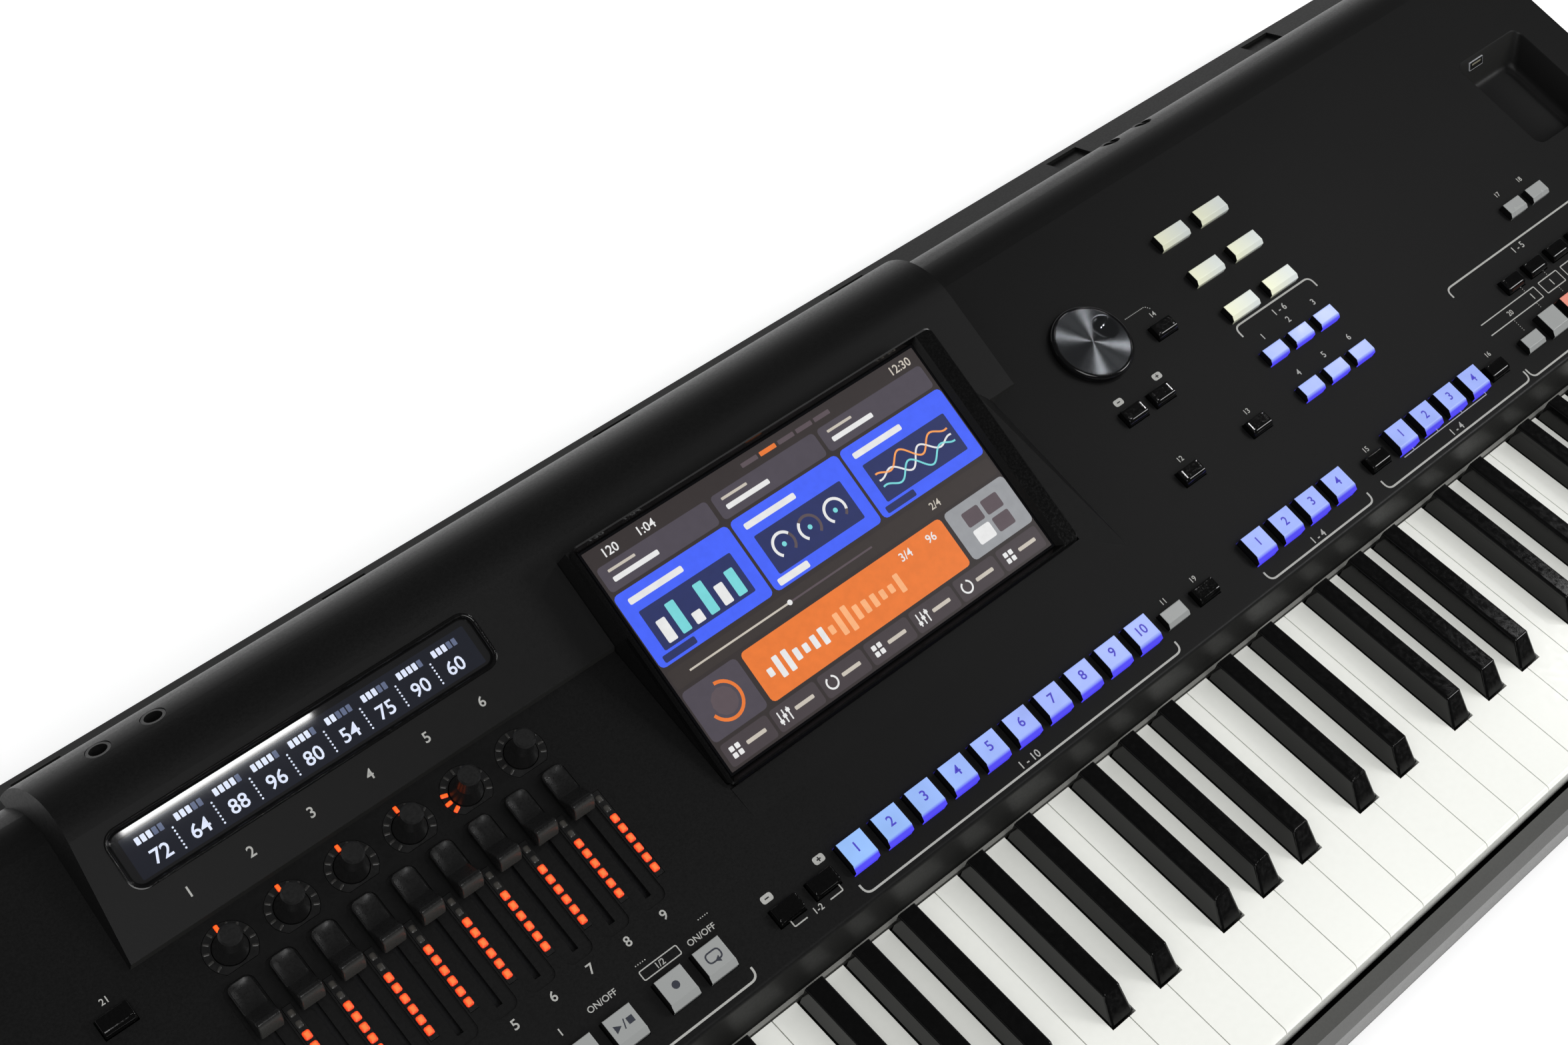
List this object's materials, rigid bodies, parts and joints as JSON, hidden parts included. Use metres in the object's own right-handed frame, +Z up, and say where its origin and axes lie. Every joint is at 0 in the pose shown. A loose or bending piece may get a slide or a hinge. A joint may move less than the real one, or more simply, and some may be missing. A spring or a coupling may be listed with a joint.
{
  "type": "arranger keyboard",
  "caption": "Digital arranger keyboard: hinged piano keys, sloping control panel with lit buttons, sliders and knobs, a tilted touch screen and a joystick.",
  "frame": {"origin": "on the floor under the middle of the case", "axes": "+X along the keys towards the treble, +Y to the back, +Z up"},
  "size_m": [1.234, 0.456, 0.1479],
  "materials": {
    "case_plastic": "fine satin texture",
    "rail_plastic": "satin",
    "bezel_plastic": "high gloss",
    "display_glass": "polished",
    "module_metal": "bare sheet",
    "lamp_plastic": "smoked",
    "pot_plastic": "plain",
    "board": "solder mask",
    "supply_metal": "bare sheet",
    "socket_plastic": "plain",
    "frame_metal": "zinc grey",
    "felt": "felt",
    "foot_rubber": "matte",
    "screw_steel": "blackened",
    "white_key": "gloss",
    "black_key": "gloss",
    "slider_plastic": "satin",
    "knob_plastic": "satin",
    "dial_plastic": "spun",
    "stick_plastic": "satin",
    "blue_button": "lit",
    "white_button": "lit",
    "grey_button": "unlit",
    "black_button": "gloss"
  },
  "bodies": {
    "case": {"bottom_case": "case_plastic", "top_case": "case_plastic", "display_hood": "case_plastic", "left_end": "case_plastic", "right_end": "case_plastic", "front_rail": "rail_plastic", "screen_bezel": "bezel_plastic", "screen_housing": "case_plastic", "display_glass": "display_glass", "display_modules": "module_metal", "panel_lights": "lamp_plastic", "control_pots": "pot_plastic", "panel_boards": "board", "main_board": "board", "power_supply": "supply_metal", "sockets": "socket_plastic", "key_frame": "frame_metal", "key_felts": "felt", "rubber_feet": "foot_rubber", "case_screws": "screw_steel", "music_rest_sockets": "socket_plastic"},
    "keys_c": {"keys_c": "white_key"},
    "keys_d": {"keys_d": "white_key"},
    "keys_e": {"keys_e": "white_key"},
    "keys_f": {"keys_f": "white_key"},
    "keys_g": {"keys_g": "white_key"},
    "keys_a": {"keys_a": "white_key"},
    "keys_b": {"keys_b": "white_key"},
    "keys_c_sharp": {"keys_c_sharp": "black_key"},
    "keys_d_sharp": {"keys_d_sharp": "black_key"},
    "keys_f_sharp": {"keys_f_sharp": "black_key"},
    "keys_g_sharp": {"keys_g_sharp": "black_key"},
    "keys_a_sharp": {"keys_a_sharp": "black_key"},
    "slider_1": {"slider_1": "slider_plastic"},
    "slider_2": {"slider_2": "slider_plastic"},
    "slider_3": {"slider_3": "slider_plastic"},
    "slider_4": {"slider_4": "slider_plastic"},
    "slider_5": {"slider_5": "slider_plastic"},
    "slider_6": {"slider_6": "slider_plastic"},
    "slider_7": {"slider_7": "slider_plastic"},
    "slider_8": {"slider_8": "slider_plastic"},
    "slider_9": {"slider_9": "slider_plastic"},
    "knob_1": {"knob_1": "knob_plastic"},
    "knob_2": {"knob_2": "knob_plastic"},
    "knob_3": {"knob_3": "knob_plastic"},
    "knob_4": {"knob_4": "knob_plastic"},
    "knob_5": {"knob_5": "knob_plastic"},
    "knob_6": {"knob_6": "knob_plastic"},
    "data_dial": {"data_dial": "dial_plastic"},
    "master_volume": {"master_volume": "knob_plastic"},
    "joystick_gimbal": {"joystick_gimbal": "pot_plastic"},
    "joystick": {"joystick": "stick_plastic"},
    "registration_buttons": {"registration_buttons": "blue_button"},
    "pad_buttons": {"pad_buttons": "blue_button"},
    "assignable_buttons": {"assignable_buttons": "blue_button"},
    "gate_buttons": {"gate_buttons": "white_button"},
    "style_buttons": {"style_buttons": "grey_button"},
    "part_buttons": {"part_buttons": "grey_button"},
    "utility_buttons": {"utility_buttons": "black_button"}
  },
  "joints": [
    {"name": "keys_c_hinge", "type": "hinge", "parent": "case", "child": "keys_c", "pos_m": [0, -0.016, 0.05], "axis": [1, 0, 0], "range_deg": [0, 2.9], "stiffness_Nm_per_rad": 3, "springref_deg": -11.46},
    {"name": "keys_d_hinge", "type": "hinge", "parent": "case", "child": "keys_d", "pos_m": [0, -0.016, 0.05], "axis": [1, 0, 0], "range_deg": [0, 2.9], "stiffness_Nm_per_rad": 3, "springref_deg": -11.46},
    {"name": "keys_e_hinge", "type": "hinge", "parent": "case", "child": "keys_e", "pos_m": [0, -0.016, 0.05], "axis": [1, 0, 0], "range_deg": [0, 2.9], "stiffness_Nm_per_rad": 3, "springref_deg": -11.46},
    {"name": "keys_f_hinge", "type": "hinge", "parent": "case", "child": "keys_f", "pos_m": [0, -0.016, 0.05], "axis": [1, 0, 0], "range_deg": [0, 2.9], "stiffness_Nm_per_rad": 3, "springref_deg": -11.46},
    {"name": "keys_g_hinge", "type": "hinge", "parent": "case", "child": "keys_g", "pos_m": [0, -0.016, 0.05], "axis": [1, 0, 0], "range_deg": [0, 2.9], "stiffness_Nm_per_rad": 3, "springref_deg": -11.46},
    {"name": "keys_a_hinge", "type": "hinge", "parent": "case", "child": "keys_a", "pos_m": [0, -0.016, 0.05], "axis": [1, 0, 0], "range_deg": [0, 2.9], "stiffness_Nm_per_rad": 3, "springref_deg": -11.46},
    {"name": "keys_b_hinge", "type": "hinge", "parent": "case", "child": "keys_b", "pos_m": [0, -0.016, 0.05], "axis": [1, 0, 0], "range_deg": [0, 2.9], "stiffness_Nm_per_rad": 3, "springref_deg": -11.46},
    {"name": "keys_c_sharp_hinge", "type": "hinge", "parent": "case", "child": "keys_c_sharp", "pos_m": [0, -0.016, 0.05], "axis": [1, 0, 0], "range_deg": [0, 3.4], "stiffness_Nm_per_rad": 3, "springref_deg": -11.46},
    {"name": "keys_d_sharp_hinge", "type": "hinge", "parent": "case", "child": "keys_d_sharp", "pos_m": [0, -0.016, 0.05], "axis": [1, 0, 0], "range_deg": [0, 3.4], "stiffness_Nm_per_rad": 3, "springref_deg": -11.46},
    {"name": "keys_f_sharp_hinge", "type": "hinge", "parent": "case", "child": "keys_f_sharp", "pos_m": [0, -0.016, 0.05], "axis": [1, 0, 0], "range_deg": [0, 3.4], "stiffness_Nm_per_rad": 3, "springref_deg": -11.46},
    {"name": "keys_g_sharp_hinge", "type": "hinge", "parent": "case", "child": "keys_g_sharp", "pos_m": [0, -0.016, 0.05], "axis": [1, 0, 0], "range_deg": [0, 3.4], "stiffness_Nm_per_rad": 3, "springref_deg": -11.46},
    {"name": "keys_a_sharp_hinge", "type": "hinge", "parent": "case", "child": "keys_a_sharp", "pos_m": [0, -0.016, 0.05], "axis": [1, 0, 0], "range_deg": [0, 3.4], "stiffness_Nm_per_rad": 3, "springref_deg": -11.46},
    {"name": "slider_1_slide", "type": "slide", "parent": "case", "child": "slider_1", "axis": [0, -0.9848, -0.1736], "range_m": [0, 0.045]},
    {"name": "slider_2_slide", "type": "slide", "parent": "case", "child": "slider_2", "axis": [0, -0.9848, -0.1736], "range_m": [0, 0.045]},
    {"name": "slider_3_slide", "type": "slide", "parent": "case", "child": "slider_3", "axis": [0, -0.9848, -0.1736], "range_m": [0, 0.045]},
    {"name": "slider_4_slide", "type": "slide", "parent": "case", "child": "slider_4", "axis": [0, -0.9848, -0.1736], "range_m": [0, 0.045]},
    {"name": "slider_5_slide", "type": "slide", "parent": "case", "child": "slider_5", "axis": [0, -0.9848, -0.1736], "range_m": [0, 0.045]},
    {"name": "slider_6_slide", "type": "slide", "parent": "case", "child": "slider_6", "axis": [0, -0.9848, -0.1736], "range_m": [0, 0.045]},
    {"name": "slider_7_slide", "type": "slide", "parent": "case", "child": "slider_7", "axis": [0, -0.9848, -0.1736], "range_m": [0, 0.045]},
    {"name": "slider_8_slide", "type": "slide", "parent": "case", "child": "slider_8", "axis": [0, -0.9848, -0.1736], "range_m": [0, 0.045]},
    {"name": "slider_9_slide", "type": "slide", "parent": "case", "child": "slider_9", "axis": [0, -0.9848, -0.1736], "range_m": [0, 0.045]},
    {"name": "knob_1_turn", "type": "hinge", "parent": "case", "child": "knob_1", "pos_m": [-0.2934, 0.07338, 0.10822], "axis": [0, -0.1736, 0.9848], "continuous": true},
    {"name": "knob_2_turn", "type": "hinge", "parent": "case", "child": "knob_2", "pos_m": [-0.26494, 0.07338, 0.10822], "axis": [0, -0.1736, 0.9848], "continuous": true},
    {"name": "knob_3_turn", "type": "hinge", "parent": "case", "child": "knob_3", "pos_m": [-0.23648, 0.07338, 0.10822], "axis": [0, -0.1736, 0.9848], "continuous": true},
    {"name": "knob_4_turn", "type": "hinge", "parent": "case", "child": "knob_4", "pos_m": [-0.20802, 0.07338, 0.10822], "axis": [0, -0.1736, 0.9848], "continuous": true},
    {"name": "knob_5_turn", "type": "hinge", "parent": "case", "child": "knob_5", "pos_m": [-0.17956, 0.07338, 0.10822], "axis": [0, -0.1736, 0.9848], "continuous": true},
    {"name": "knob_6_turn", "type": "hinge", "parent": "case", "child": "knob_6", "pos_m": [-0.1511, 0.07338, 0.10822], "axis": [0, -0.1736, 0.9848], "continuous": true},
    {"name": "data_dial_turn", "type": "hinge", "parent": "case", "child": "data_dial", "pos_m": [0.2117, 0.08411, 0.11012], "axis": [0, -0.1736, 0.9848], "continuous": true},
    {"name": "master_volume_turn", "type": "hinge", "parent": "case", "child": "master_volume", "pos_m": [-0.566, 0.0463, 0.10345], "axis": [0, -0.1736, 0.9848], "range_deg": [-135, 135]},
    {"name": "joystick_tilt", "type": "hinge", "parent": "case", "child": "joystick_gimbal", "pos_m": [-0.552, -0.132, 0.066], "axis": [1, 0, 0], "range_deg": [-18, 18], "stiffness_Nm_per_rad": 0.3},
    {"name": "joystick_bend", "type": "hinge", "parent": "joystick_gimbal", "child": "joystick", "pos_m": [-0.552, -0.132, 0.066], "axis": [0, 1, 0], "range_deg": [-18, 18], "stiffness_Nm_per_rad": 0.3},
    {"name": "registration_buttons_press", "type": "slide", "parent": "case", "child": "registration_buttons", "axis": [0, 0.1736, -0.9848], "range_m": [0, 0.001], "stiffness_N_per_m": 500, "springref_m": -0.002},
    {"name": "pad_buttons_press", "type": "slide", "parent": "case", "child": "pad_buttons", "axis": [0, 0.1736, -0.9848], "range_m": [0, 0.001], "stiffness_N_per_m": 500, "springref_m": -0.002},
    {"name": "assignable_buttons_press", "type": "slide", "parent": "case", "child": "assignable_buttons", "axis": [0, 0.1736, -0.9848], "range_m": [0, 0.001], "stiffness_N_per_m": 500, "springref_m": -0.002},
    {"name": "gate_buttons_press", "type": "slide", "parent": "case", "child": "gate_buttons", "axis": [0, 0.1736, -0.9848], "range_m": [0, 0.001], "stiffness_N_per_m": 500, "springref_m": -0.002},
    {"name": "style_buttons_press", "type": "slide", "parent": "case", "child": "style_buttons", "axis": [0, 0.1736, -0.9848], "range_m": [0, 0.001], "stiffness_N_per_m": 500, "springref_m": -0.002},
    {"name": "part_buttons_press", "type": "slide", "parent": "case", "child": "part_buttons", "axis": [0, 0.1736, -0.9848], "range_m": [0, 0.001], "stiffness_N_per_m": 500, "springref_m": -0.002},
    {"name": "utility_buttons_press", "type": "slide", "parent": "case", "child": "utility_buttons", "axis": [0, 0.1736, -0.9848], "range_m": [0, 0.001], "stiffness_N_per_m": 500, "springref_m": -0.002}
  ]
}
